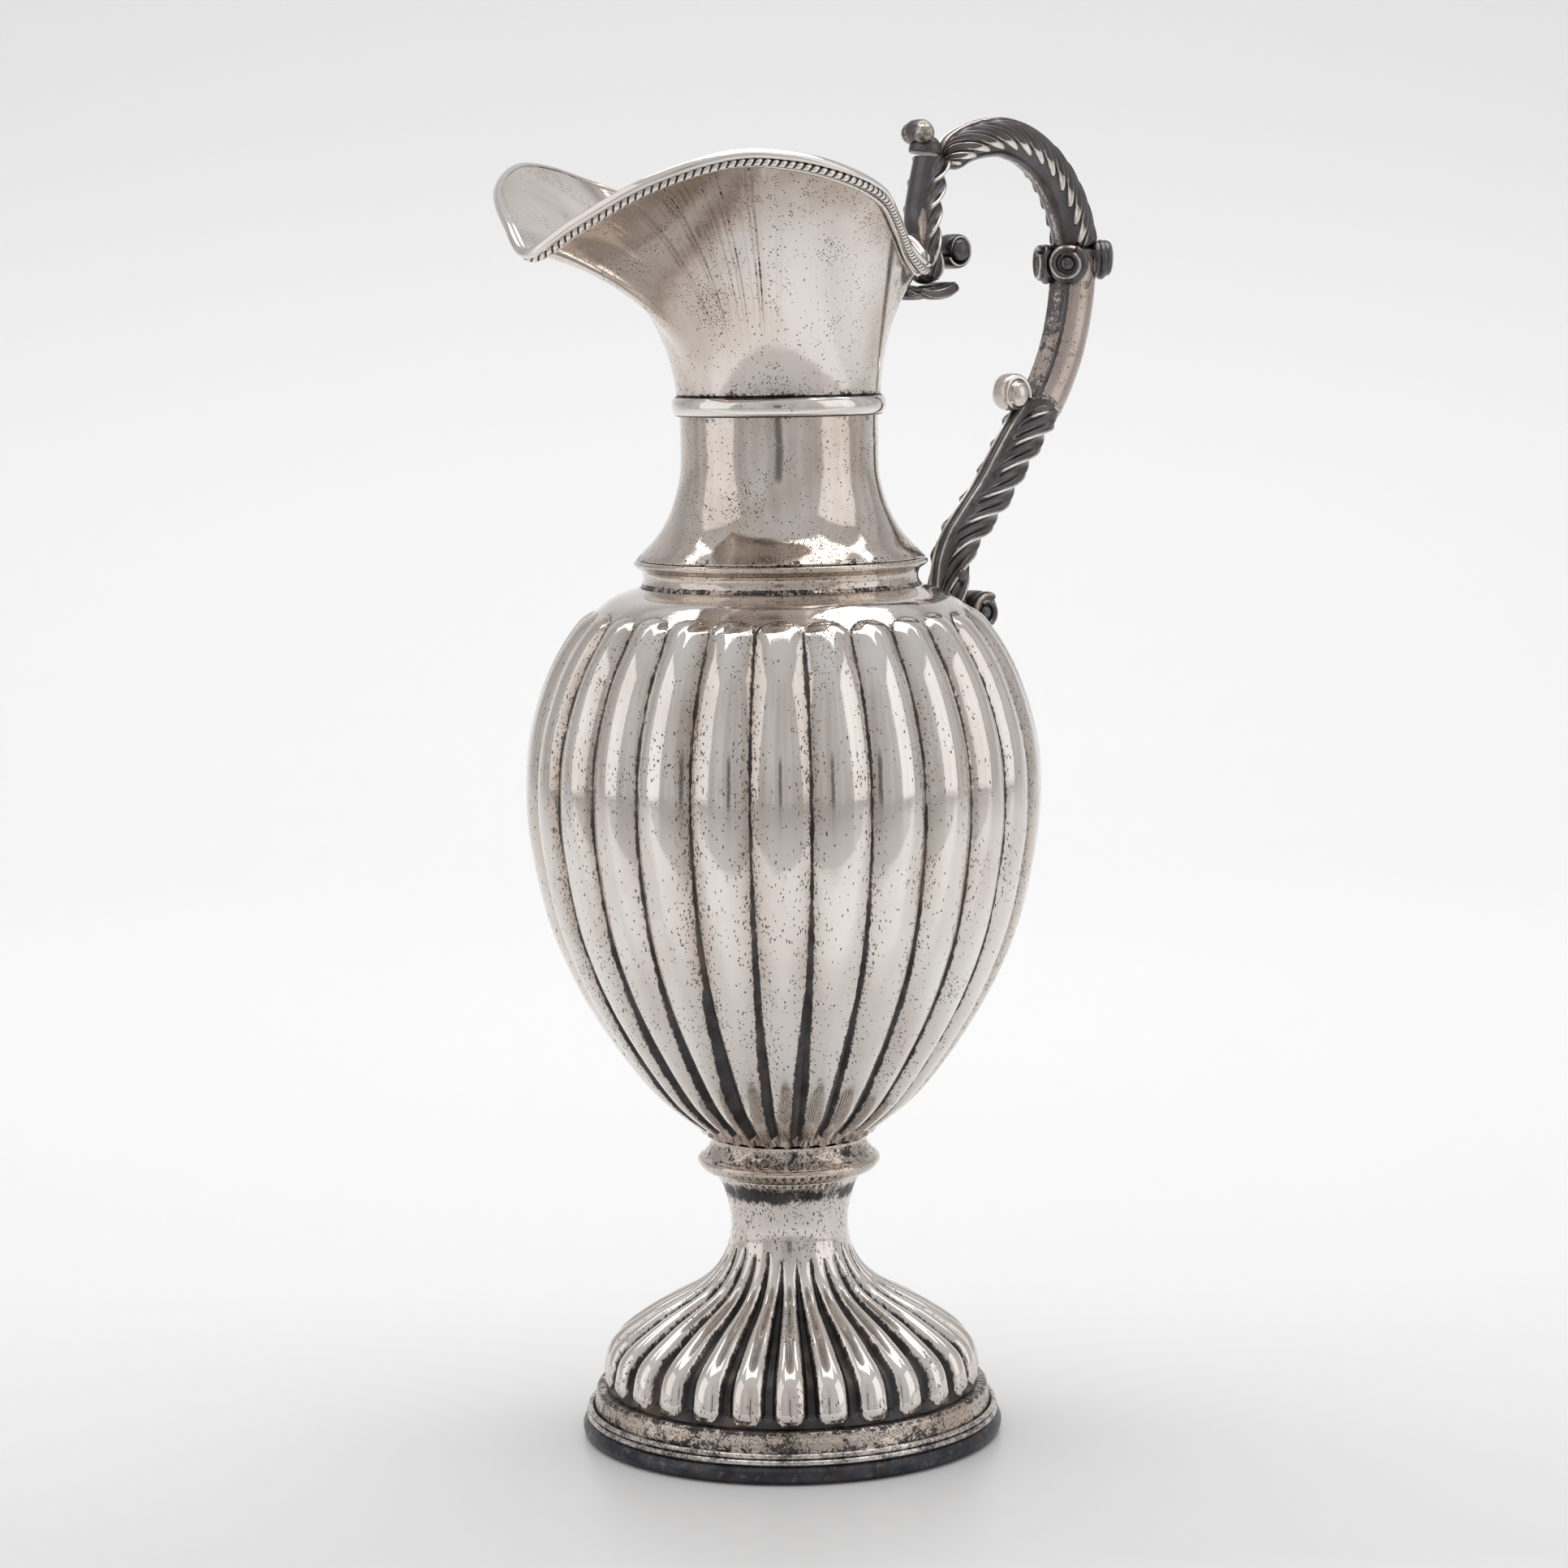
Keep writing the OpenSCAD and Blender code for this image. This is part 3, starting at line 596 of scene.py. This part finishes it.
def make_mouth():
    rim = even_loop(rim_points(), WALL_COLUMNS)
    levels = np.linspace(0, 1, 96) ** 0.95
    outer = funnel_rings(rim, levels)
    along = np.roll(outer, -1, axis=1) - np.roll(outer, 1, axis=1)
    normal = unit(np.cross(along, np.gradient(outer, axis=0)))
    normal[0] = unit(rim * [1, 1, 0])
    inner = (outer - normal * SHEET)[::-1]
    # faint creases left by the raising hammer fan out from the neck towards the spout
    turns = np.arange(WALL_COLUMNS) / WALL_COLUMNS * TAU
    crease = sum(depth * np.sin(turns * count + rng.uniform(0, TAU))
                 for count, depth in ((61, 0.4), (97, 0.5), (139, 0.35)))
    where = (ease(-80, -70, rim[:, 0]) * ease(-34, -52, rim[:, 0]))[None, :]
    where = where * (ease(0.15, 0.4, levels) * ease(0.99, 0.93, levels))[:, None]
    outer = outer - normal * (0.06 * np.abs(crease)[None, :] * where)[..., None]
    edge = np.interp(levels, [0, 0.04, 0.1, 0.9, 1], [0.1, -0.7, -1.3, -1.3, -0.6])[:, None]
    under_rim = 0.75 * ease(0.66, 1.0, levels)[:, None] * ease(-50, 5, rim[:, 0])[None, :]
    at_back = 0.8 * bell(rim[:, 0], 34, 16)[None, :] * ease(0.2, 0.6, levels)[:, None]
    speck = np.maximum(np.maximum(under_rim, at_back), 0.12)
    stain = 0.95 * ease(0.6, 1.0, levels)[:, None] * (0.45 + 0.55 * bell(rim[:, 0], -38, 30)[None, :])
    stain = np.maximum(stain, 0.9 * where * np.clip(np.abs(crease), 0, 1)[None, :] ** 2)
    edge = np.maximum(edge, -1.3 + 1.25 * where * ease(0.4, 0.9, np.abs(crease))[None, :])
    stain = np.maximum(stain, 0.6 * at_back)
    plain = np.zeros(inner.shape[:2])
    Shape().skin(np.concatenate([outer, inner]), np.concatenate([edge, plain - 1.6]), looped=True,
                 speck=np.concatenate([speck, plain]), stain=np.concatenate([stain, plain])).build("mouth_funnel")

    rim = rim_points()
    up, out = rim_frame(rim)

    def moulding(section, edge):
        rings = np.array([rim + out * a + up * b for a, b in section])
        return Shape().skin(rings, edge, looped=True)

    lip = rounded([[-1.2, 0.05], [1.5, 0.05], [1.5, 1.1], [0.9, 1.7], [-0.7, 1.7], [-1.2, 1.2]], 0.35)
    moulding(lip, -1.2).build("rim_lip")
    wire = [[0.75 + 0.65 * math.cos(a), -3.1 + 0.65 * math.sin(a)] for a in np.arange(16) / 16 * TAU]
    moulding(wire, -0.25).build("border_wire")

    # two strands twisted into a rope
    count, sides = 2300, 24
    loop = even_loop(rim, count)
    up, out = rim_frame(loop)
    total = lengths(np.vstack([loop, loop[:1]]))[-1]
    twists = round(total / ROPE_BEAD)
    strand = np.arange(count) / count * twists * math.pi
    theta = np.arange(sides) / sides * TAU
    full = np.abs(np.cos(theta[:, None] - strand[None, :])) ** 0.7
    radius = 1.2 * (0.66 + 0.34 * full)
    centre = loop + out * 1.3 - up * 1.2
    rings = centre + out * (radius * np.cos(theta[:, None]))[..., None]
    rings = rings + up * (radius * np.sin(theta[:, None]))[..., None]
    Shape().skin(rings, 1.5 - 2.7 * full, looped=True).build("roped_wire")


make_mouth()


# ---- handle ----

BRACKET_CURVE = [[55.0, 318], [53.4, 326], [53.4, 335], [55.2, 343.5], [58.0, 352.5], [59.2, 356]]
ARCH_CURVE = [[62.6, 353.2], [68.6, 356.2], [76, 358], [84, 358.3], [93.4, 355.4], [101.5, 349.5],
              [107.5, 341.5], [110.8, 334], [112.2, 328]]
GRIP_CURVE = [[112.2, 328], [111.6, 319], [110.2, 310], [107.4, 300], [103, 290.5], [98, 282.5]]
LEG_CURVE = [[98, 282.5], [91, 274.5], [84.2, 266], [77.8, 257.5], [70, 249.2], [64.6, 242.8],
             [61.8, 236], [61, 228.5], [61, 221]]

HOLLOW = 1.7  # depth into the dark of the castings' hollows, in mm


def bar(curve, size_a, size_b, relief, rows=320, cols=144, ends=(2.5, 2.5)):
    """Bar in the plane of symmetry; relief(s, side, t) gives (height, edge) in mm at arc length s.
    side runs round the bar in degrees: 0 faces the hand and 180 faces away from it."""
    p = open_curve(curve, 24)
    first, last = unit(p[0] - p[1]), unit(p[-1] - p[-2])
    p = even(np.vstack([p[0] + first * ends[0] * 0.6, p, p[-1] + last * ends[1] * 0.6]), rows)
    d = unit(np.gradient(p, axis=0))
    s = lengths(p)[:, None]
    t = np.linspace(0, 1, rows)[:, None]
    # both ends are drawn in to a round nose
    from_start, from_end = np.clip(s / ends[0], 0, 1), np.clip((s[-1] - s) / ends[1], 0, 1)
    nose = np.sqrt(1 - (1 - from_start) ** 2) * np.sqrt(1 - (1 - from_end) ** 2) * 0.98 + 0.02
    side = (np.arange(cols)[None, :] + 0.5) / cols * 360
    half = (np.array(size_a) + (np.array(size_b) - np.array(size_a)) * t) * nose
    a, b = np.cos(np.radians(side)), np.sin(np.radians(side))
    outward = np.stack([d[:, 1:] * a, np.broadcast_to(b, (rows, cols)), -d[:, :1] * a], -1)
    across = np.stack([d[:, 1:] * half[:, :1] * a, half[:, 1:] * b, -d[:, :1] * half[:, :1] * a], -1)
    height, edge = relief(s, side, t)
    rise = ease(0, 0.03, t) * ease(0, 0.03, 1 - t)
    mid = np.stack([p[:, 0], 0 * p[:, 0], p[:, 1]], -1)[:, None, :]
    return Shape().skin(mid + across + outward * (height * rise)[..., None], np.broadcast_to(edge, (rows, cols)))


def arch_relief(s, side, t):
    """Tongues that leave the outer spine almost along it and end in round tips on both flanks."""
    d = np.abs(side - 180) / 180 * 20.0  # mm round the bar from the spine
    reach = 13.6  # where the longest tips end
    psi = s - 24 * (np.minimum(d, reach) / reach) ** 0.8
    f = np.mod(psi / 6.0, 1)
    end = reach * (0.72 + 0.28 * np.sin(math.pi * f) ** 0.6)
    inside = ease(end + 0.2, end - 0.3, d)
    tongue = 1.7 * np.sin(math.pi * f) ** 0.5 - 0.8
    hollow = 0.7 * bell(f, 0.36, 0.2) * ease(end - 0.6, end - 2.4, d)
    spine = 0.85 * bell(d, 1.5, 0.8) - 0.15 * bell(d, 0, 0.6)
    leafy = ease(2.0, 4.0, d)
    height = inside * (tongue - hollow) * leafy * (1 - 0.45 * ease(8, 13, d)) + spine - (1 - inside) * 0.55
    tip = bell(d, end - 1.5, 1.5) * inside * bell(f, 0.5, 0.42)
    ridge = np.maximum(bell(f, 0.80, 0.10), 0.7 * bell(f, 0.2, 0.07) * ease(6, 10, d)) * inside * leafy
    shine = np.maximum(np.maximum(1.2 * tip, 0.95 * ridge), 0.8 * bell(d, 1.4, 0.7))
    warm_inner = 0.5 * ease(17, 19.6, d)
    return np.clip(height, -1.0, 1.1), HOLLOW - 3.3 * np.maximum(shine, warm_inner)


def leg_relief(s, side, t):
    """Long spoon leaves that start at the inner rib and rise to lobed tips on the outer edge."""
    wide = 19.0
    d = np.minimum(side, 360 - side) / 180 * wide  # mm round the bar from the inner rib
    psi = s + 30 * (d / wide) ** 0.8
    f = np.mod(psi / 9.6, 1)
    root = 3.2 + 1.0 * np.sin(psi * 0.5)
    inside = ease(root, root + 2.0, d)
    rim = bell(f, 0.13, 0.11) + bell(f, 1.13, 0.11)
    lower_rim = 0.6 * bell(f, 0.84, 0.08)
    spoon = np.sin(math.pi * np.clip((f - 0.13) / 0.75, 0, 1)) ** 0.8
    rib = 1.0 * bell(d, 1.8, 0.85)
    height = inside * (0.35 + 1.0 * np.maximum(rim, lower_rim) - 1.25 * spoon) + rib - (1 - inside) * 0.3
    height = height + 0.8 * ease(11, 17, d) * (np.sin(math.pi * f) - 0.5)
    leafy = ease(0.96, 0.88, t) * ease(0.02, 0.1, t)
    shine = np.maximum(np.maximum(rim * inside * ease(3, 7, d), 0.75 * lower_rim * inside), 0.8 * bell(d, 1.7, 0.8))
    shine = np.maximum(shine, 0.56 * ease(12.5, 17, d) * bell(f, 0.45, 0.3))
    return np.clip(height * leafy, -1.2, 1.2), HOLLOW - 3.0 * shine * (0.25 + 0.75 * leafy)


def bracket_relief(s, side, t):
    """Plain worn back and rising leaf strokes towards the hand side, which is lobed."""
    e = np.abs(side - 180)  # degrees round the bar from its back
    psi = s - 19 * (e / 180) ** 1.2
    f = np.mod(psi / 7.8 + 0.1, 1)
    strokes = ease(50, 78, e)
    rim = bell(f, 0.15, 0.13) + bell(f, 1.15, 0.13)
    hollow = np.sin(math.pi * np.clip((f - 0.15) / 0.85, 0, 1))
    height = strokes * (0.5 + 0.9 * rim - 1.3 * hollow) + 1.0 * ease(110, 160, e) * (np.sin(math.pi * f) - 0.4)
    height = height + 0.6 * bell(t, 0.45, 0.25) * bell(e, 0, 80)
    worn_patch = 0.75 * bell(e, 45, 22) * bell(t, 0.40, 0.2)
    return np.clip(height, -1.2, 1.3), HOLLOW - 2.9 * np.maximum(strokes * rim, worn_patch)


def grip_relief(s, side, t):
    """Plain bar with a lengthwise crease at each flank of its hand side."""
    away = np.minimum(side, 360 - side)
    crease = bell(away, 36, 5)
    height = -0.55 * crease + 0.3 * bell(away, 22, 8)
    edge = -0.72 + 1.8 * crease + 1.5 * ease(0.16, 0.0, t) + 1.2 * ease(0.9, 1.0, t)
    edge = edge + 0.7 * ease(36, 24, away) + 0.3 * bell(t, 0.3, 0.2)
    edge = edge - 0.25 * ease(70, 120, away) + 0.35 * bell(away, 95, 25) * bell(t, 0.15, 0.2)
    return height, edge


def spiral_band(centre, radii, turns, half_wide, thick, edge=-0.4):
    """Ribbon rolled round a sideways axis: radii and turns (degrees) go from outer to inner end."""
    rows, sides, taper = 150, 26, 0.8
    t = np.linspace(0, 1, rows)
    a = np.radians(turns[0] + (turns[1] - turns[0]) * t)
    r = radii[0] + (radii[1] - radii[0]) * t
    theta = np.arange(sides) / sides * TAU
    square = (np.abs(np.cos(theta)) ** 3 + np.abs(np.sin(theta)) ** 3) ** (-1 / 3)
    x = np.cos(theta) * square * thick / 2
    y = np.sin(theta) * square * half_wide
    grow = (1 - (1 - taper) * t)[:, None]
    rad = r[:, None] + x * grow
    rings = np.stack([centre[0] + rad * np.cos(a)[:, None], y * grow, centre[1] + rad * np.sin(a)[:, None]], -1)
    # bright on the rolled outer edges, dark in between
    return rings, 1.5 - 2.4 * np.abs(np.sin(theta)) ** 8 + edge


def scroll(d, width, eye, centre):
    """Scroll with a sideways axis: a barrel, a raised spiral and a round eye on both faces."""
    shape = Shape()
    r = d / 2
    outline = rounded([[0.01, -width / 2], [r - 1.1, -width / 2], [r, -width / 5], [r, width / 5],
                       [r - 1.1, width / 2], [0.01, width / 2]], 0.6)
    a = np.arange(72) / 72 * TAU
    rings = np.array([[[q[0] * math.cos(t), q[1], q[0] * math.sin(t)] for t in a] for q in outline])
    shape.skin(rings, 1.3)
    count, sides = 150, 20
    t = np.linspace(0, 1, count)
    turn = np.radians(60 + t * 420)
    ridge = r * 0.23
    rad = (r - ridge) - (r - eye / 2 - ridge * 1.6) * t
    theta = np.arange(sides) / sides * TAU
    grow = (1 - 0.35 * t)[:, None] * ridge
    for face in (-1, 1):
        rr = rad[:, None] + np.cos(theta) * grow
        y = face * (width / 2 - 0.1 + np.sin(theta) * 1.3 * grow)
        rings = np.stack([rr * np.cos(turn)[:, None], y, rr * np.sin(turn)[:, None]], -1)
        shape.skin(rings, 1.5 - 1.9 * np.clip(np.sin(theta + 0.5), 0, 1) ** 4)
        shape.ball((0, face * width / 2, 0), (eye / 2, eye * 0.32, eye / 2), 0.3)
    middle = np.array([centre[0], 0, centre[1]])
    return shape.change(lambda p: p + middle)


def leaf(stem, wide, thick, spread, lift):
    """Rings and edge values of a long leaf with a groove down its middle, on a stem shifted sideways."""
    rows, cols = 60, 32
    p = even(open_curve(stem, 12), rows)
    d = unit(np.gradient(p, axis=0))
    t = np.linspace(0, 1, rows)[:, None]
    body = np.sin(math.pi * (0.12 + 0.88 * t) ** 0.8) ** 0.6
    theta = np.arange(cols)[None, :] / cols * TAU
    y = wide * body * np.cos(theta)
    up = thick * (0.35 + 0.65 * body) * np.sin(theta) * (1 - 0.45 * bell(np.cos(theta), 0, 0.28))
    rings = np.stack([p[:, :1] - d[:, 1:] * up, y + spread[0] + (spread[1] - spread[0]) * t,
                      p[:, 1:] + d[:, :1] * up + lift * t], -1)
    return rings, 1.8 - 2.3 * bell(np.abs(np.cos(theta)), 0.8, 0.12)


def make_handle():
    curl_seat = (56.2, 0, 352.5)  # on the plane where the bracket carries its curl
    bracket = bar(BRACKET_CURVE, (5.0, 5.3), (5.6, 5.4), bracket_relief, rows=240, ends=(4, 1.2))
    bracket.keep_ahead(curl_seat, (-0.13, 0, -1)).build("bracket")
    bar(ARCH_CURVE, (5.1, 5.1), (6.8, 6.6), arch_relief, rows=440, cols=192, ends=(6, 3)).build("handle_arch")
    bar(GRIP_CURVE, (6.8, 6.6), (6.2, 6.6), grip_relief, rows=160, ends=(1.5, 1.5)).build("grip")
    bar(LEG_CURVE, (6.2, 6.6), (4.8, 5.0), leg_relief, rows=420, cols=176).build("handle_leg")

    top = Shape().skin(*spiral_band((54, 358.3), (4.3, 1.6), (-70, 330), 2.9, 1.5))
    top.knobs(54, 2.5, 358.3, (3.2, 3.4, 3.2), 0.05).ball((57.0, 0, 353.4), (4.9, 5.1, 4.6), 1.0)
    top.keep_ahead(curl_seat, (0.13, 0, 1)).build("bracket_curl")

    low = Shape().skin(*spiral_band((87.4, 287), (4.5, 1.8), (-10, 400), 3.5, 1.6, edge=-1.9))
    low.knobs(87.4, 3.0, 287, (3.1, 3.2, 3.1), -0.7)
    low.keep_ahead((93.2, 0, 286), (-0.776, 0, 0.63)).build("leg_curl")

    hook = Shape().skin(*spiral_band((64.2, 326.8), (4.1, 2.0), (-150, 230), 3.6, 1.5, edge=0.2))
    hook.knobs(64.4, 2.6, 326.6, (2.7, 2.2, 2.7), 0.5)
    hook.keep_ahead((59.6, 0, 327), (1, 0, -0.05)).build("bracket_scroll")
    scroll(12, 9, 4, (71.8, 225)).keep_ahead((66, 0, 225), (1, 0, 0)).build("foot_volute")

    for turn, node in ((-148, "near_inner_volute"), (148, "far_inner_volute"),
                       (-32, "near_outer_volute"), (32, "far_outer_volute")):
        side = 1 if turn > 0 else -1
        a = math.radians(turn)
        out = np.array([math.cos(a), math.sin(a), 0])
        across = np.array([-math.sin(a), math.cos(a), 0])
        middle = np.array([111.8, 0, 323.2 if abs(turn) > 90 else 324.4]) + out * 7.65

        def stand(p, out=out, across=across, middle=middle):
            return middle + p[:, :1] * across + p[:, 1:2] * out + p[:, 2:] * UP
        made = scroll(11.5, 2.9, 4.2, (0, 0)).change(stand)
        made.keep_ahead((0, side * 0.1, 0), (0, side, 0)).build(node)

    spray = Shape()
    stem = [[60.5, 316.6], [55, 314.8], [50.5, 314.6], [47, 316.4]]
    for spread, lift in (((-3.2, -6.4), -1.6), ((0, 0), 0), ((3.2, 6.4), -1.6)):
        spray.skin(*leaf(stem, 2.9, 3.0, spread, lift))
    spray.build("leaf_spray")

    for node, side in (("near_leg_boss", -1), ("far_leg_boss", 1)):
        Shape().ball((62, side * 4.9, 236), (2, 2, 2), 0.7).build(node)


make_handle()


# ---- stage, light and camera ----

VIEW_TURN = math.radians(40)  # the view's turn from straight across the plane of symmetry
CAMERA_PLACE = (-0.6988, -0.8329, 0.3092)
CAMERA_PITCH = math.radians(83.3)
CAMERA_ROLL = math.radians(-0.785)
CAMERA_LENS = 91.3
PHOTOGRAPHER = math.radians(131)  # minus the azimuth where the photographer stands
AHEAD = Vector((math.sin(VIEW_TURN), math.cos(VIEW_TURN), 0))
RIGHT = Vector((math.cos(VIEW_TURN), -math.sin(VIEW_TURN), 0))


def make_stage():
    """Pale floor that curves up into a wall behind the object."""
    across = np.linspace(-3.2, 3.2, 9)
    bend = [[-2.6, 0], [-1, 0], [0, 0], [1.1, 0]]
    bend += [[1.1 + 0.9 * math.sin(t), 0.9 - 0.9 * math.cos(t)] for t in np.linspace(0.08, math.pi / 2, 18)]
    bend += [[2.0, 1.6], [2.0, 2.6]]
    verts = [AHEAD * d + RIGHT * c + Vector((0, 0, z)) for d, z in bend for c in across]
    faces = []
    cols = len(across)
    for i in range(len(bend) - 1):
        for j in range(cols - 1):
            k = i * cols + j
            faces.append((k, k + 1, k + cols + 1, k + cols))
    mesh = bpy.data.meshes.new("floor_shape")
    mesh.from_pydata(verts, [], faces)
    mesh.polygons.foreach_set("use_smooth", np.ones(len(mesh.polygons), bool))
    floor = bpy.data.objects.new("floor", mesh)
    bpy.context.scene.collection.objects.link(floor)
    m = Recipe("Floor_Pale_Painted_Light_And_Shade")
    # Tone by depth, from 0.5 m in front of the object to 2 m behind it, with painted light and shade: painted shade
    # darkest in a band about 0.1 m in front of the object, painted light growing towards the sheet's front edge and
    # towards the back. The pale sheet ends 0.4 m in front, and the room's floor before it is darker.
    turned = m.node("ShaderNodeMapping", {"Vector": m.place, "Rotation": (0, 0, VIEW_TURN)})
    depth = m.axis(turned.outputs[0], "Y")
    tone = m.node("ShaderNodeValToRGB", {0: m.math("MULTIPLY", m.math("ADD", depth, 0.5), 0.4)})
    stops = tone.color_ramp.elements
    stops[0].position, stops[0].color = 0.036, (0.66, 0.65, 0.64, 1)
    stops[1].position, stops[1].color = 0.042, (0.93, 0.93, 0.93, 1)
    for position, level in ((0.12, 0.90), (0.152, 0.76), (0.18, 0.79), (0.256, 0.85), (0.34, 0.86), (0.5, 0.9),
                            (0.75, 0.95)):
        stops.new(position).color = (level, level, level, 1)
    # painted shade: the stage turns grey as it curves up into the wall, from 0.12 m to 0.75 m high
    shade = m.mix(m.step(m.axis(m.place, "Z"), 0.12, 0.75), tone.outputs[0], (0.72, 0.72, 0.725, 1))
    m.plug(shade, m.shader.inputs["Base Color"])
    m.plug(0.3, m.shader.inputs["Roughness"])
    m.plug(0.3, m.shader.inputs["Specular IOR Level"])
    mesh.materials.append(m.material)


def softbox(name, right, ahead, up, width, height, watts, aim=(0, 0, 0.18)):
    """Area light placed in the view's own directions, in metres, and turned towards aim."""
    light = bpy.data.lights.new(name, "AREA")
    light.shape = "RECTANGLE"
    light.size, light.size_y = width, height
    light.energy = watts
    made = bpy.data.objects.new(name, light)
    made.location = RIGHT * right + AHEAD * ahead + Vector((0, 0, up))
    made.rotation_mode = "QUATERNION"
    made.rotation_quaternion = (Vector(aim) - made.location).to_track_quat("-Z", "Y")
    bpy.context.scene.collection.objects.link(made)


def make_light():
    softbox("softbox_top", 0.0, 0.10, 1.5, 1.4, 1.1, 9.5, aim=(0, 0, 0))
    softbox("softbox_left", -1.6, -0.5, 0.8, 1.3, 1.6, 3.0)
    softbox("softbox_right", 1.6, -0.6, 0.8, 1.3, 1.6, 3.4)
    softbox("wall_wash", 0.0, 0.6, 1.9, 3.0, 0.6, 12.5, aim=(1.1, 1.3, 0.7))
    world = bpy.data.worlds.new("Studio_Room")
    bpy.context.scene.world = world
    world.use_nodes = True
    m = Nodes(world.node_tree, "Generated")
    x, y, z = (m.axis(m.place, name) for name in "XYZ")
    # walls of the room in plain upright bands of slightly different tone
    around = m.math("ARCTAN2", y, x)
    bands = m.node("ShaderNodeCombineXYZ", {0: m.math("MULTIPLY", around, 3.2), 1: m.math("MULTIPLY", z, 0.5)})
    noise = m.noise(1.6, 1.5, place=bands.outputs[0])
    wall = m.mix(m.step(noise, 0.38, 0.46), (0.68, 0.66, 0.65, 1), (0.76, 0.745, 0.74, 1))
    wall = m.mix(m.step(noise, 0.53, 0.58), wall, (0.84, 0.83, 0.84, 1))
    # the dark gap where the photographer stands
    off = m.math("ABSOLUTE", m.math("ADD", around, PHOTOGRAPHER))
    gap = m.math("MULTIPLY", m.step(off, 0.10, 0.05), m.step(z, 0.36, 0.22))
    wall = m.mix(gap, wall, (0.24, 0.235, 0.235, 1))
    wall = m.mix(m.step(z, 0.55, 0.9), wall, (0.85, 0.86, 0.87, 1))
    background = world.node_tree.nodes["Background"]
    m.plug(wall, background.inputs["Color"])
    m.plug(0.74, background.inputs["Strength"])


def make_camera():
    data = bpy.data.cameras.new("camera")
    data.sensor_width = 36
    data.lens = CAMERA_LENS
    data.clip_start, data.clip_end = 0.02, 20
    camera = bpy.data.objects.new("camera", data)
    camera.matrix_world = (Matrix.Translation(CAMERA_PLACE) @ Matrix.Rotation(-VIEW_TURN, 4, "Z")
                           @ Matrix.Rotation(CAMERA_PITCH, 4, "X") @ Matrix.Rotation(CAMERA_ROLL, 4, "Z"))
    bpy.context.scene.collection.objects.link(camera)
    bpy.context.scene.camera = camera


make_stage()
make_light()
make_camera()
bpy.context.scene.view_settings.view_transform = "Standard"
bpy.context.scene.view_settings.look = "None"
